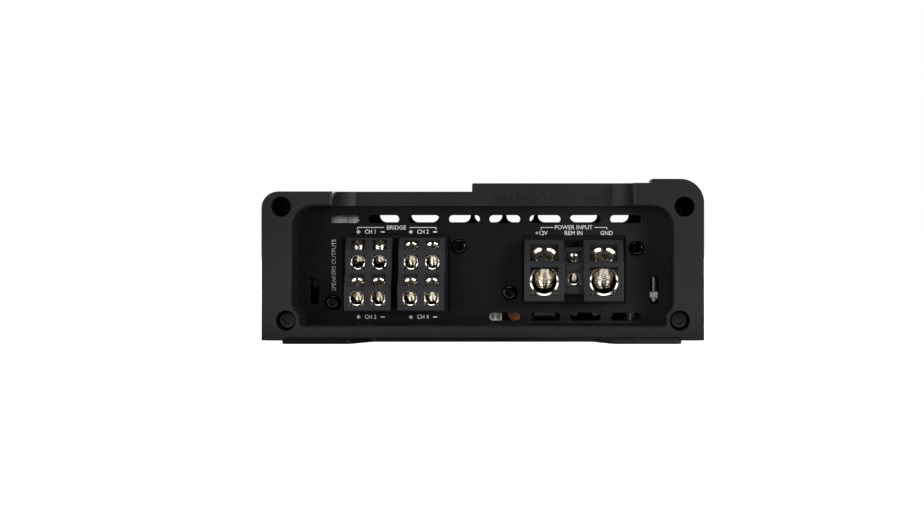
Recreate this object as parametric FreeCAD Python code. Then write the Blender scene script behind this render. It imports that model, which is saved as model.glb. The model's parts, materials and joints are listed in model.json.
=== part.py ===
import FreeCAD, Part

import math
import os

from FreeCAD import Vector

# A four-channel car amplifier. Millimetres, +Z up, X across, Y along the heatsink.
# The terminal end is at -Y and the control end at +Y. The origin is under the middle of the base plate.

# ---- driving dimensions --------------------------------------------------------------------------
BODY_WIDTH = 165.6
BODY_LENGTH = 266.0
BODY_BOTTOM = 0.5  # the body stands this far above the base plate's underside
FIN_TOP = 56.3  # top of the low, finned side
DECK_TOP = 59.5  # top of the raised deck
RIDGE_TOP = 61.0  # top of the end caps' shoulder, which stands above the deck
DECK_X = (-4.6, 62.9)
FIN_SIDE_RADIUS = 6.3
RIDGE_RADIUS = 8.9

PANEL_DEPTH = 20.0  # from the end cap's face to the panel's outer face
PANEL_THICK = 1.5
CAP_DEPTH = PANEL_DEPTH + PANEL_THICK
SCOOP_DEPTH = 15.0  # the cap's top bar is set back this far
SCOOP_HALF = 56.4
COVE_RADIUS = 10.0
COVE_DEPTH = 5.3  # straight wall before each cove
FLARE = (0.9, 0.5)  # across and deep, down the two upright edges of the scoop's mouth
CHAMFER = 0.7  # round the opening
HEAD_DEPTH = 5.5  # the cap screws' heads are this far in
HEAD_HEIGHT = 3.2
OPENING_HALF = 71.4
OPENING_Z = (5.8, 50.8)

WALL = 3.2  # heatsink side wall
CEILING = 49.0  # inside height of the heatsink
GROOVE_FLOOR = 52.4

PLATE_THICK = 1.5
PLATE_HALF = 73.6
EAR_REACH = 12.5  # the ears stand this far out of the cap's face
EAR_HOLE = (58.7, 6.2)  # X, and distance out of the cap's face
EAR_HOLE_RADIUS = 2.75

BOARD_Z = (4.6, 6.2)
BOARD_HALF = 66.0
BOARD_END = 104.0

SPEAKER_BLOCK_X = (-43.7, -23.6)  # centres of the two speaker blocks
POLE_OFFSET = 4.05  # poles stand this far either side of a block's centre
POWER_X = (22.95, 45.45)
REMOTE_X = 34.2

FRONT = -BODY_LENGTH / 2
PANEL_FACE = FRONT + PANEL_DEPTH
PANEL_BACK = FRONT + CAP_DEPTH
HEATSINK_LENGTH = BODY_LENGTH - 2 * CAP_DEPTH
HALF_WIDTH = BODY_WIDTH / 2

TOP_SCREWS = (75.5, 50.6)  # end cap screws, X and Z, one each side
LOW_SCREWS = (73.7, 7.9)
CAP_SCREWS = [(s * x, z) for x, z in (TOP_SCREWS, LOW_SCREWS) for s in (-1, 1)]

X_AXIS = Vector(1, 0, 0)
Y_AXIS = Vector(0, 1, 0)
Z_AXIS = Vector(0, 0, 1)
ORIGIN = Vector(0, 0, 0)


# ---- helpers -------------------------------------------------------------------------------------
def box(x0, x1, y0, y1, z0, z1):
    return Part.makeBox(x1 - x0, y1 - y0, z1 - z0, Vector(x0, y0, z0))


def rod(radius, start, direction, length):
    return Part.makeCylinder(radius, length, Vector(*start), direction)


def tube(outer, inner, start, direction, length):
    return rod(outer, start, direction, length).cut(rod(inner, start, direction, length))


def front_view(y):
    """Places (across, up) in the plane at that Y."""
    return lambda a, b: Vector(a, y, b)


def plan_view(z):
    return lambda a, b: Vector(a, b, z)


def side_view(x):
    """Places (along Y, up) in the plane at that X."""
    return lambda a, b: Vector(x, a, b)


def rounded_wire(corners, place):
    """A closed outline through corners (a, b, radius), each rounded by a tangent arc."""
    edges, start, last = [], None, None
    count = len(corners)
    for i, (a, b, radius) in enumerate(corners):
        here = Vector(a, b, 0)
        before = Vector(*corners[i - 1][:2], 0)
        after = Vector(*corners[(i + 1) % count][:2], 0)
        back, ahead = (before - here).normalize(), (after - here).normalize()
        if radius > 0:
            half = back.getAngle(ahead) / 2
            reach = radius / math.tan(half)
            p, q = here + back * reach, here + ahead * reach
            middle = (back + ahead).normalize()
            crown = here + middle * (radius / math.sin(half) - radius)
        else:
            p = q = here
        if last is not None and (p - last).Length > 1e-6:
            edges.append(Part.LineSegment(place(last.x, last.y), place(p.x, p.y)).toShape())
        if radius > 0:
            edges.append(Part.Arc(place(p.x, p.y), place(crown.x, crown.y), place(q.x, q.y)).toShape())
        start = p if start is None else start
        last = q
    if (start - last).Length > 1e-6:
        edges.append(Part.LineSegment(place(last.x, last.y), place(start.x, start.y)).toShape())
    return Part.Wire(edges)


def prism(corners, place, direction):
    return Part.Face(rounded_wire(corners, place)).extrude(direction)


def slot(x, z, length, height, y, depth):
    """A round-ended slot going back from Y = y. It lies along X, or stands up where height is larger."""
    radius = min(length, height) / 2
    a, b = length / 2, height / 2
    corners = [(x + sx * a, z + sz * b, radius) for sx, sz in ((-1, -1), (1, -1), (1, 1), (-1, 1))]
    return prism(corners, front_view(y), Vector(0, depth, 0))


def both_sides(x):
    return (-x, x)


def at_far_end(shape):
    """The same shape at the control end."""
    return shape.mirror(ORIGIN, Y_AXIS)


def joined(shapes):
    shapes = list(shapes)
    return shapes[0].multiFuse(shapes[1:]).removeSplitter() if len(shapes) > 1 else shapes[0]


def group(shapes):
    """Separate solids in one node."""
    return Part.makeCompound(list(shapes))


def rounded(shape, edges, radius):
    return shape.makeFillet(radius, edges) if edges else shape


PARTS = {}


def part(name, shape):
    solids = shape.Solids
    assert solids and all(s.isValid() and s.Volume > 0 for s in solids), name
    PARTS[name] = solids[0] if len(solids) == 1 else Part.makeCompound(solids)


# ---- casing: heatsink, end caps, panels, base plate ----------------------------------------------
NOTCH = ((OPENING_HALF, 13.6, 2.6), (68.7, 9.6, 2.6), (68.6, OPENING_Z[0], 1.0))  # round the low screws
OPENING = (
    [(-x, z, r) for x, z, r in NOTCH[::-1]]
    + [(-OPENING_HALF, OPENING_Z[1], 8.0), (OPENING_HALF, OPENING_Z[1], 8.0)]
    + list(NOTCH)
)


def body_outline(shoulder):
    """Cross-section of the body, with the right-hand shoulder at the given height."""
    return [
        (-HALF_WIDTH, BODY_BOTTOM, 0.3),
        (-HALF_WIDTH, FIN_TOP, FIN_SIDE_RADIUS),
        (DECK_X[0], FIN_TOP, 0.4),
        (DECK_X[0], DECK_TOP, 0.6),
        *([] if shoulder == DECK_TOP else [(DECK_X[1], DECK_TOP, 0.3), (DECK_X[1] + 0.6, shoulder, 0.3)]),
        (HALF_WIDTH, shoulder, RIDGE_RADIUS),
        (HALF_WIDTH, BODY_BOTTOM, 0.3),
    ]


def end_cap():
    """Cast frame round the recessed panel. Its top bar is set back, to reach the screws from above."""
    cap = prism(body_outline(RIDGE_TOP), front_view(FRONT), Vector(0, CAP_DEPTH, 0))
    cap = cap.cut(prism(OPENING, front_view(FRONT - 1), Vector(0, CAP_DEPTH + 2, 0)))
    cap = cap.makeChamfer(CHAMFER, [e for e in cap.Edges if on_cap_face(e) and inside_opening(e)])
    cap = cap.cut(box(-79.2, 79.2, PANEL_FACE, PANEL_BACK + 1, 1.8, 53.9))
    cap = cap.cut(scoop())
    bottom_gap = PLATE_HALF + 0.2
    cap = cap.cut(box(-bottom_gap, bottom_gap, FRONT - 1, PANEL_BACK + 1, 0, PLATE_THICK + 0.05))
    for x, z in CAP_SCREWS:
        cap = cap.cut(rod(3.8, (x, FRONT - 1, z), Y_AXIS, HEAD_DEPTH + HEAD_HEIGHT + 1))
        cap = cap.cut(rod(2.2, (x, FRONT - 1, z), Y_AXIS, CAP_DEPTH + 2))
    return cap


def scoop():
    """The hollow in front of the set-back bar: flared mouth, straight walls, a cove at each end."""
    low, high = OPENING_Z[1] - 4, RIDGE_TOP + 5
    middle = SCOOP_HALF - COVE_RADIUS
    back = FRONT + SCOOP_DEPTH
    mouth = SCOOP_HALF + 3 * FLARE[0]
    flare = [
        (-mouth, FRONT - 2 * FLARE[1], 0),
        (mouth, FRONT - 2 * FLARE[1], 0),
        (SCOOP_HALF, FRONT + FLARE[1], 0),
        (-SCOOP_HALF, FRONT + FLARE[1], 0),
    ]
    hollow = prism(flare, plan_view(low), Vector(0, 0, high - low))
    hollow = hollow.fuse(box(-SCOOP_HALF, SCOOP_HALF, FRONT, FRONT + COVE_DEPTH, low, high))
    hollow = hollow.fuse(box(-middle, middle, FRONT, back, low, high))
    for x in both_sides(middle):
        round_end = rod(COVE_RADIUS, (x, FRONT + COVE_DEPTH, low), Z_AXIS, high - low)
        hollow = hollow.fuse(round_end.common(box(-90, 90, FRONT, back, low, high)))
    return hollow.removeSplitter()


def points_of(edge):
    return [v.Point for v in edge.Vertexes] + [edge.CenterOfMass]


def on_cap_face(edge):
    """Edges of the cap's front face that aren't down at the base plate."""
    return all(abs(p.y - FRONT) < 1e-6 and p.z > BODY_BOTTOM + 1.5 for p in points_of(edge))


def inside_opening(edge):
    return all(abs(p.x) < OPENING_HALF + 0.1 and p.z < OPENING_Z[1] + 0.1 for p in points_of(edge))


def brow_ribs():
    """Slanting ribs cast on the set-back bar: height 2.7, lean 0.9."""
    face = FRONT + SCOOP_DEPTH
    ribs = []
    for i in range(22):
        x = -3.0 + i * 2.2
        corners = [(x, 53.3, 0), (x + 1.1, 53.3, 0), (x + 2.0, 56.0, 0), (x + 0.9, 56.0, 0)]
        ribs.append(prism(corners, front_view(face - 0.35), Vector(0, 0.5, 0)))
    return ribs


def heatsink():
    """Extruded shell: fins on the low side, a hollow deck on the high side, four screw bosses."""
    y = PANEL_BACK
    along = Vector(0, HEATSINK_LENGTH, 0)
    outline = body_outline(DECK_TOP)
    shell = prism(outline, front_view(y), along)
    inner = HALF_WIDTH - WALL
    cavity = [(-inner, 4.3, 1.0), (inner, 4.3, 1.0), (inner, CEILING, 2.0), (-inner, CEILING, 2.0)]
    shell = shell.cut(prism(cavity, front_view(y), along))
    shell = shell.cut(box(-BOARD_HALF - 1, BOARD_HALF + 1, y, y + HEATSINK_LENGTH, 0, 5))
    shell = shell.cut(
        box(-PLATE_HALF - 0.2, PLATE_HALF + 0.2, y, y + HEATSINK_LENGTH, 0, PLATE_THICK + 0.05)
    )
    bosses = [rod(3.6, (x, y, z), Y_AXIS, HEATSINK_LENGTH) for x, z in CAP_SCREWS]
    shell = shell.fuse(bosses).common(prism(outline, front_view(y), along))
    cuts = [rod(1.75, (x, y - 1, z), Y_AXIS, HEATSINK_LENGTH + 2) for x, z in CAP_SCREWS]
    cuts += [rod(1.45, (sx, sy, 0), Z_AXIS, 5) for sx, sy in BASE_SCREWS]
    for side in (-1, 1):
        start = side * (HALF_WIDTH - WALL - 1)
        cuts += [rod(1.55, (start, sy, BAR_HEIGHT), X_AXIS * side, 3.1) for sy in CLAMP_BAR_SCREW_YS]
    for i in range(11):  # grooves between the fins
        x = -70.4 + i * 5.9
        cuts.append(box(x, x + 3.9, y, y + HEATSINK_LENGTH, GROOVE_FLOOR, FIN_TOP + 1))
    for i in range(4):  # chambers under the deck
        x = -2.2 + i * 15.7
        chamber = [(x, 52.0, 0.8), (x + 14.0, 52.0, 0.8), (x + 14.0, 56.6, 0.8), (x, 56.6, 0.8)]
        cuts.append(prism(chamber, front_view(y), along))
    for side in (-1, 1):  # shallow grooves down the sides
        for z in (16.0, 24.0, 32.0, 40.0):
            x0, x1 = sorted((side * HALF_WIDTH, side * (HALF_WIDTH - 1.0)))
            cuts.append(box(x0, x1, y, y + HEATSINK_LENGTH, z, z + 2.4))
    for x in (66.5, 70.5):  # two lines along the deck's outer side
        cuts.append(box(x, x + 1.6, y, y + HEATSINK_LENGTH, DECK_TOP - 1.2, DECK_TOP + 1))
    cuts.append(box(*DECK_INLAY_X, -DECK_INLAY_Y, DECK_INLAY_Y, DECK_TOP - 0.9, DECK_TOP + 1))
    return shell.cut(cuts)


DECK_INLAY_X = (1.0, 57.0)
DECK_INLAY_Y = 98.0


def deck_plate():
    """Blank aluminium plate let into the deck."""
    gap = 0.15
    x0, x1 = DECK_INLAY_X[0] + gap, DECK_INLAY_X[1] - gap
    y1 = DECK_INLAY_Y - gap
    corners = [(x0, -y1, 2.0), (x1, -y1, 2.0), (x1, y1, 2.0), (x0, y1, 2.0)]
    return prism(corners, plan_view(DECK_TOP - 0.9), Vector(0, 0, 1.0))


def cap_screws():
    """Socket screws deep in the cap's counterbores, into the heatsink's bosses."""
    screws = []
    for x, z in CAP_SCREWS:
        head_face = FRONT + HEAD_DEPTH
        screw = rod(3.4, (x, head_face, z), Y_AXIS, HEAD_HEIGHT)
        screw = rounded(screw, [e for e in screw.Edges if abs(e.CenterOfMass.y - head_face) < 1e-6], 0.6)
        screw = screw.fuse(rod(1.7, (x, head_face + HEAD_HEIGHT - 0.1, z), Y_AXIS, 24.0))
        screws.append(screw.cut(hexagon(x, z, 1.5, head_face - 1, 2.8)))
    return group(screws)


def six_corners(a, b, radius):
    turns = [k * math.pi / 3 for k in range(6)]
    return [(a + radius * math.cos(turn), b + radius * math.sin(turn), 0) for turn in turns]


def hexagon(x, z, across, y, depth):
    """A hexagonal prism along Y. across is half its width over the flats."""
    corners = six_corners(x, z, across / math.cos(math.pi / 6))
    return prism(corners, front_view(y), Vector(0, depth, 0))


SLOT_XS = [15.46 * (i - 3.5) for i in range(8)]
PANEL_OUTLINE = [(-79.0, 2.0, 1.5), (79.0, 2.0, 1.5), (79.0, 53.7, 1.5), (-79.0, 53.7, 1.5)]
TERMINAL_PANEL_SCREWS = [(-58.1, 13.9), (-9.7, 35.3), (9.6, 17.5), (58.3, 34.6)]
SPEAKER_CUTOUT = (-54.4, -13.2, 9.8, 39.9)
POWER_CUTOUT = (14.4, 54.1, 13.3, 39.6)


def blank_panel():
    panel = prism(PANEL_OUTLINE, front_view(PANEL_FACE), Vector(0, PANEL_THICK, 0))
    for x, z in CAP_SCREWS:
        panel = panel.cut(rod(2.2, (x, PANEL_FACE - 1, z), Y_AXIS, 4))
    return panel


def terminal_panel():
    """Sheet with vent slots, and cut-outs for the terminal blocks."""
    cuts = [slot(x, 45.8, 11.8, 3.0, PANEL_FACE - 1, 4) for x in SLOT_XS]
    cuts += [slot(x, 8.4, 11.8, 3.1, PANEL_FACE - 1, 4) for x in SLOT_XS[4:]]
    cuts += [slot(x, 18.7, 3.5, 11.3, PANEL_FACE - 1, 4) for x in both_sides(65.1)]
    for x0, x1, z0, z1 in (SPEAKER_CUTOUT, POWER_CUTOUT):
        corners = [(x0, z0, 0.6), (x1, z0, 0.6), (x1, z1, 0.6), (x0, z1, 0.6)]
        cuts.append(prism(corners, front_view(PANEL_FACE - 1), Vector(0, 4, 0)))
    cuts += [rod(1.6, (x, PANEL_FACE - 1, z), Y_AXIS, 4) for x, z in TERMINAL_PANEL_SCREWS]
    return blank_panel().cut(cuts)


def button_screw(x, z, face, length=7.0):
    """Button-head screw along Y with a hex socket, its head standing out of face towards -Y."""
    head = rod(2.85, (x, face - 1.6, z), Y_AXIS, 1.6)
    head = rounded(head, [e for e in head.Edges if abs(e.CenterOfMass.y - face + 1.6) < 1e-6], 1.1)
    screw = head.fuse(rod(1.4, (x, face - 0.1, z), Y_AXIS, length))
    return screw.cut(hexagon(x, z, 1.0, face - 2.6, 2.2))


def base_plate():
    """Pressed steel floor with four drilled ears."""
    ear_face = -FRONT + EAR_REACH
    edge = -FRONT - 0.4
    corners = []
    for sx, sy in ((1, -1), (1, 1), (-1, 1), (-1, -1)):
        ear = [(41.0, edge, 3.0), (48.5, ear_face, 3.0), (PLATE_HALF, ear_face, 2.0)]
        ear = ear if sx * sy < 0 else ear[::-1]
        corners += [(sx * x, sy * y, r) for x, y, r in ear]
    plate = prism(corners, plan_view(0), Vector(0, 0, PLATE_THICK))
    cuts = []
    for sx in (-1, 1):
        for sy in (-1, 1):
            x, y = sx * EAR_HOLE[0], sy * (-FRONT + EAR_HOLE[1])
            cuts.append(rod(EAR_HOLE_RADIUS, (x, y, -1), Z_AXIS, 4))
    for x, y in BASE_SCREWS:
        cuts.append(Part.makeCone(3.0, 1.5, PLATE_THICK, Vector(x, y, 0), Z_AXIS))
    for y in (-60.0, 60.0):  # vents under the board
        for i in range(7):
            x = -36.0 + i * 12.0
            vent = [(x + sx * 1.5, y + sy * 14, 1.5) for sx, sy in ((-1, -1), (1, -1), (1, 1), (-1, 1))]
            cuts.append(prism(vent, plan_view(-1), Vector(0, 0, 4)))
    return plate.cut(cuts)


BASE_SCREWS = [(s * 69.6, y) for s in (-1, 1) for y in (-92.0, 0.0, 92.0)]
STANDOFFS = [(s * 61.5, y) for s in (-1, 1) for y in (-88.0, 0.0, 72.0)]


def upright_cross(x, y, reach, half, z0, z1):
    """Two crossing slots, seen from above."""
    return [box(x - a, x + a, y - b, y + b, z0, z1) for a, b in ((reach, half), (half, reach))]


def base_screws():
    screws = []
    for x, y in BASE_SCREWS:
        head = Part.makeCone(2.9, 1.4, 1.4, Vector(x, y, 0.05), Z_AXIS)
        screw = head.fuse(rod(1.4, (x, y, 1.4), Z_AXIS, 2.7))
        screws.append(screw.cut(upright_cross(x, y, 1.6, 0.3, -1, 0.9)))
    return group(screws)


# ---- terminal blocks -----------------------------------------------------------------------------
# Each terminal has a wire bore facing the end, and a clamp screw in a 45 degree slope above it. It is
# drawn in its own (back, up) coordinates: back from its front face, up from the bore's axis.
DIAGONAL = math.sqrt(0.5)
INWARD = Vector(0, DIAGONAL, -DIAGONAL)  # the way a clamp screw goes in


class Terminal:
    """One size of terminal. All lengths in millimetres, in the terminal's own (back, up) coordinates."""

    def __init__(self, bore, screw, length, sunk, crest, aim, clamp_inset, block, window, half):
        self.bore = bore  # radius of the wire bore
        self.screw = screw  # radius of the clamp screw
        self.length = length  # of the clamp screw
        self.sunk = sunk  # of the screw's end below the slope when it is screwed down
        self.crest = crest  # height where the slope starts
        self.aim = aim  # height where the screw's axis leaves the slope
        self.clamp_inset = clamp_inset  # clamp's front face, behind the housing's
        self.block = block  # the clamp's (bottom, top, back)
        self.window = window  # (wire window half width, slope window's low and high edge)
        self.half = half  # the clamp's half width

    def on_axis(self, travel):
        """(back, up) of a point on the screw's axis, that far in from the slope."""
        return self.aim - self.crest + travel * DIAGONAL, self.aim - travel * DIAGONAL

    def clamp_outline(self, grow=0.0):
        bottom, top, back = self.block
        inset = self.clamp_inset
        slope = self.crest - (self.sunk - 0.5) / DIAGONAL  # half a millimetre above the screw's head
        return [
            (inset - grow, bottom - grow, 0),
            (inset - grow, slope + inset, 0),
            (top + grow - slope - grow / DIAGONAL, top + grow, 0),
            (back * 0.62, top + grow, 0),
            (back + grow, self.bore + 1.2, 0),
            (back + grow, bottom - grow, 0),
        ]


SPEAKER = Terminal(
    bore=2.35, screw=1.95, length=9.0, sunk=1.9, crest=4.4, aim=6.85, clamp_inset=0.9,
    block=(-3.2, 8.2, 13.8), window=(2.7, 4.75, 9.25), half=3.0,
)
SPEAKER_UPPER_WINDOW = (4.85, 8.55)
POWER = Terminal(
    bore=4.75, screw=3.95, length=15.2, sunk=3.0, crest=6.85, aim=11.15, clamp_inset=1.2,
    block=(-5.9, 14.0, 24.0), window=(5.35, 7.6, 14.0), half=5.7,
)
REMOTE = Terminal(
    bore=1.95, screw=1.7, length=11.4, sunk=1.2, crest=5.15, aim=8.4, clamp_inset=0.9,
    block=(-3.2, 10.4, 16.4), window=(2.85, 6.1, 10.4), half=3.1,
)

# name: (terminal size, X, Y of the front face, Z of the bore, how far the screw is backed out at rest)
LOW_FACE, HIGH_FACE = FRONT + 5.0, FRONT + 10.45
LOW_BORE, HIGH_BORE = 16.0, 29.5
POWER_FACE, POWER_BORE = FRONT + 4.0, 22.45
REMOTE_FACE, REMOTE_BORE = FRONT + 7.5, 23.25
BACKED_OUT = 2.4
TERMINALS = {}
for channel, block_x, face, bore_z, out in (
    (1, SPEAKER_BLOCK_X[0], HIGH_FACE, HIGH_BORE, BACKED_OUT),
    (2, SPEAKER_BLOCK_X[1], HIGH_FACE, HIGH_BORE, 0.0),
    (3, SPEAKER_BLOCK_X[0], LOW_FACE, LOW_BORE, 0.0),
    (4, SPEAKER_BLOCK_X[1], LOW_FACE, LOW_BORE, 0.0),
):
    for pole, side in (("plus", -1), ("minus", 1)):
        TERMINALS[f"ch{channel}_{pole}"] = (SPEAKER, block_x + side * POLE_OFFSET, face, bore_z, out)
TERMINALS["battery"] = (POWER, POWER_X[0], POWER_FACE, POWER_BORE, 0.0)
TERMINALS["ground"] = (POWER, POWER_X[1], POWER_FACE, POWER_BORE, 0.0)
TERMINALS["remote"] = (REMOTE, REMOTE_X, REMOTE_FACE, REMOTE_BORE, 0.0)


def terminal_place(face, bore_z, x):
    return lambda back, up: Vector(x, face + back, bore_z + up)


def screw_start(terminal, x, face, bore_z, travel):
    back, up = terminal.on_axis(travel)
    return (x, face + back, bore_z + up)


def terminal_screw(name):
    """Set screw with a cross recess, chamfered at both ends. Its threads clear the clamp by 0.05."""
    t, x, face, bore_z, out = TERMINALS[name]
    start = Vector(*screw_start(t, x, face, bore_z, t.sunk - out))
    bevel = t.screw * 0.22
    top = Part.makeCone(t.screw - bevel, t.screw, bevel, start, INWARD)
    shank = rod(t.screw, start + INWARD * bevel, INWARD, t.length - 3 * bevel)
    tip_start = start + INWARD * (t.length - 2 * bevel)
    tip = Part.makeCone(t.screw, t.screw - 1.6 * bevel, 2 * bevel, tip_start, INWARD)
    screw = joined([top, shank, tip])
    wide, narrow, depth = t.screw * 0.62, t.screw * 0.17, t.screw * 0.8
    recess = [box(-wide, wide, -narrow, narrow, -1, depth), box(-narrow, narrow, -wide, wide, -1, depth)]
    recess = recess[0].fuse(recess[1]).fuse(Part.makeCone(narrow * 2, narrow, depth, ORIGIN, Z_AXIS))
    recess.Placement = FreeCAD.Placement(start, FreeCAD.Rotation(Z_AXIS, INWARD))
    return screw.cut(recess)


def clamp(name, tail_back, tail_half, tail_thick):
    """Nickelled clamp with a wire bore, a tapped screw hole and a tail soldered to the board."""
    t, x, face, bore_z, _ = TERMINALS[name]
    bottom, _, back = t.block
    body = prism(t.clamp_outline(), terminal_place(face, bore_z, x - t.half), Vector(2 * t.half, 0, 0))
    tail_z = bore_z + bottom + 0.4
    tail_y = face + back
    x0, x1, tail_top = x - tail_half, x + tail_half, tail_z + tail_thick
    tail = [
        box(x0, x1, tail_y - 1, tail_back, tail_z, tail_top),
        box(x0, x1, tail_back - tail_thick, tail_back, BOARD_Z[1], tail_top),
    ]
    body = body.fuse(tail).removeSplitter()
    mouth = t.bore * 0.13  # a shallow countersink, 1.7 times as wide as it is deep
    front = Vector(x, face + t.clamp_inset, bore_z)
    body = body.cut(Part.makeCone(t.bore + mouth, t.bore, mouth / 1.7, front, Y_AXIS))
    body = body.cut(rod(t.bore, tuple(front - Y_AXIS), Y_AXIS, back - t.clamp_inset - 0.4))
    hole_depth = t.sunk + t.length - t.screw
    start = Vector(*screw_start(t, x, face, bore_z, 0))
    body = body.cut(rod(t.screw + 0.05, tuple(start), INWARD, hole_depth))
    rim = t.sunk - 0.5
    widen, hole = t.screw * 0.2, t.screw + 0.05
    return body.cut(Part.makeCone(hole + widen, hole, widen, start + INWARD * rim, INWARD))


def terminal_cavity(name, window_heights=None):
    """What a housing leaves out for one terminal: the clamp's pocket, and its wire and screw windows."""
    t, x, face, bore_z, _ = TERMINALS[name]
    half, low, high = t.window
    low, high = window_heights or (low, high)
    pocket_half = t.half + 0.1
    place = terminal_place(face, bore_z, x - pocket_half)
    pocket = prism(t.clamp_outline(0.1), place, Vector(2 * pocket_half, 0, 0))
    wire = box(x - half, x + half, face - 1, face + t.clamp_inset + 0.5, bore_z - half, bore_z + half)
    length = (high - low) / DIAGONAL
    middle = (low + high) / 2
    window = Part.makeBox(2 * half, length, 1.0 + t.sunk + 1.0, Vector(-half, -length / 2, -1.0))
    window.Placement = FreeCAD.Placement(
        Vector(x, face + middle - t.crest, bore_z + middle), FreeCAD.Rotation(X_AXIS, -135)
    )
    return [pocket, wire, window]


def tail_slot(name, tail_back, tail_half, tail_thick):
    t, x, face, bore_z, _ = TERMINALS[name]
    bottom, _, back = t.block
    gap = 0.15
    z = bore_z + bottom + 0.4
    half = tail_half + gap
    return box(x - half, x + half, face + back - 1, tail_back, z - gap, z + tail_thick + gap)


SPEAKER_BACK = FRONT + 28.0
SPEAKER_TAILS = {3: FRONT + 30.5, 4: FRONT + 30.5, 1: FRONT + 34.0, 2: FRONT + 34.0}
POWER_BACK = FRONT + 30.0
POWER_TAIL = FRONT + 36.0
FLANGE_THICK = 2.5


def flange(x0, x1, z0, z1, screws):
    """Back flange of a terminal block, behind the panel."""
    corners = [(x0, z0, 1.5), (x1, z0, 1.5), (x1, z1, 1.5), (x0, z1, 1.5)]
    plate = prism(corners, front_view(PANEL_BACK), Vector(0, FLANGE_THICK, 0))
    for x, z in screws:
        plate = plate.fuse(rod(3.4, (x, PANEL_BACK, z), Y_AXIS, 7.0))
    return plate


def speaker_housing(index, flange_x, screw):
    """Two tiers of two terminals, the lower tier standing further out."""
    centre = SPEAKER_BLOCK_X[index]
    half = 8.75
    step = HIGH_FACE - LOW_FACE
    outline = [
        (LOW_FACE, 11.2, 0.5),
        (LOW_FACE, LOW_BORE + SPEAKER.crest, 0.25),
        (HIGH_FACE, LOW_BORE + SPEAKER.crest + step, 0),
        (HIGH_FACE, HIGH_BORE + SPEAKER.crest, 0.25),
        (HIGH_FACE + 4.75, HIGH_BORE + SPEAKER.crest + 4.75, 0.25),
        (SPEAKER_BACK, HIGH_BORE + SPEAKER.crest + 4.75, 0.5),
        (SPEAKER_BACK, 11.2, 0.5),
    ]
    body = prism(outline, side_view(centre - half), Vector(2 * half, 0, 0))
    body = body.fuse(flange(*flange_x, 8.3, 41.0, [screw]))
    cuts = [rod(1.45, (screw[0], PANEL_BACK - 1, screw[1]), Y_AXIS, 9)]
    for channel, heights in ((index + 1, SPEAKER_UPPER_WINDOW), (index + 3, None)):
        for pole in ("plus", "minus"):
            name = f"ch{channel}_{pole}"
            cuts += terminal_cavity(name, heights)
            cuts.append(tail_slot(name, SPEAKER_BACK + 1, 1.5, 0.8))
    return body.cut(cuts)


def power_housing():
    """Two large terminals with the small remote terminal between them."""
    bodies = []
    for x, terminal, face, bore_z, half, bottom, top in (
        (POWER_X[0], POWER, POWER_FACE, POWER_BORE, 7.6, 14.6, 37.9),
        (REMOTE_X, REMOTE, REMOTE_FACE, REMOTE_BORE, 4.0, 17.2, 35.0),
        (POWER_X[1], POWER, POWER_FACE, POWER_BORE, 7.6, 14.6, 37.9),
    ):
        crest = bore_z + terminal.crest
        outline = [
            (face, bottom, 0.8),
            (face, crest, 0.3),
            (face + top - crest, top, 0.5),
            (POWER_BACK, top, 0.5),
            (POWER_BACK, bottom, 0.5),
        ]
        tower = prism(outline, side_view(x - half), Vector(2 * half, 0, 0))
        if terminal is POWER:
            upright = [e for e in tower.Edges if is_front_upright(e, face)]
            tower = rounded(tower, upright, 0.5)
        bodies.append(tower)
    screws = TERMINAL_PANEL_SCREWS[2:]
    body = joined(bodies + [flange(5.4, 62.6, 11.9, 41.0, screws)])
    cuts = [rod(1.45, (x, PANEL_BACK - 1, z), Y_AXIS, 9) for x, z in screws]
    for name in ("battery", "remote", "ground"):
        cuts += terminal_cavity(name)
        cuts.append(tail_slot(name, POWER_BACK + 1, 1.5 if name == "remote" else 4.0, TAIL_THICK[name]))
    return body.cut(cuts)


TAIL_THICK = {"battery": 1.5, "ground": 1.5, "remote": 0.8}


def is_front_upright(edge, face):
    points = edge.discretize(3)
    low, high = min(p.z for p in points), max(p.z for p in points)
    return all(abs(p.y - face) < 1e-6 for p in points) and high - low > 5


# ---- inside --------------------------------------------------------------------------------------
def main_board():
    board = box(-BOARD_HALF, BOARD_HALF, -BOARD_END, BOARD_END, *BOARD_Z)
    return board.cut([rod(1.6, (x, y, 0), Z_AXIS, 9) for x, y in STANDOFFS])


def standoffs():
    posts = [tube(2.8, 1.45, (x, y, PLATE_THICK), Z_AXIS, BOARD_Z[0] - PLATE_THICK) for x, y in STANDOFFS]
    return group(posts)


def board_screws():
    screws = []
    for x, y in STANDOFFS:
        head = rod(2.7, (x, y, BOARD_Z[1]), Z_AXIS, 1.8)
        top = BOARD_Z[1] + 1.8
        head = rounded(head, [e for e in head.Edges if abs(e.CenterOfMass.z - top) < 1e-6], 0.8)
        screw = head.fuse(rod(1.4, (x, y, 1.7), Z_AXIS, BOARD_Z[1] - 1.6))
        screws.append(screw.cut(upright_cross(x, y, 1.4, 0.3, 7.0, 9.0)))
    return group(screws)


def ring_core(x, y, outer, inner, z0, height):
    return tube(outer, inner, (x, y, z0), Z_AXIS, height)


def winding(x, y, outer, inner, z0, height, wire, turns):
    """Wire turned round a flat ring core, as one solid: a sleeve with a ridge for each turn."""
    skirt = wire * 0.4
    skin = tube(outer + skirt, inner - skirt, (x, y, z0 - skirt), Z_AXIS, height + 2 * skirt)
    ridges = []
    for i in range(turns):
        angle = 360.0 * i / turns
        ridge = box(inner - wire, outer + wire, -wire * 0.36, wire * 0.36, z0 - wire, z0 + height + wire)
        ridge.rotate(ORIGIN, Z_AXIS, angle)
        ridge.translate(Vector(x, y, 0))
        ridges.append(ridge)
    skin = skin.fuse(ridges).removeSplitter()
    return skin.cut(ring_core(x, y, outer, inner, z0, height))


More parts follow.
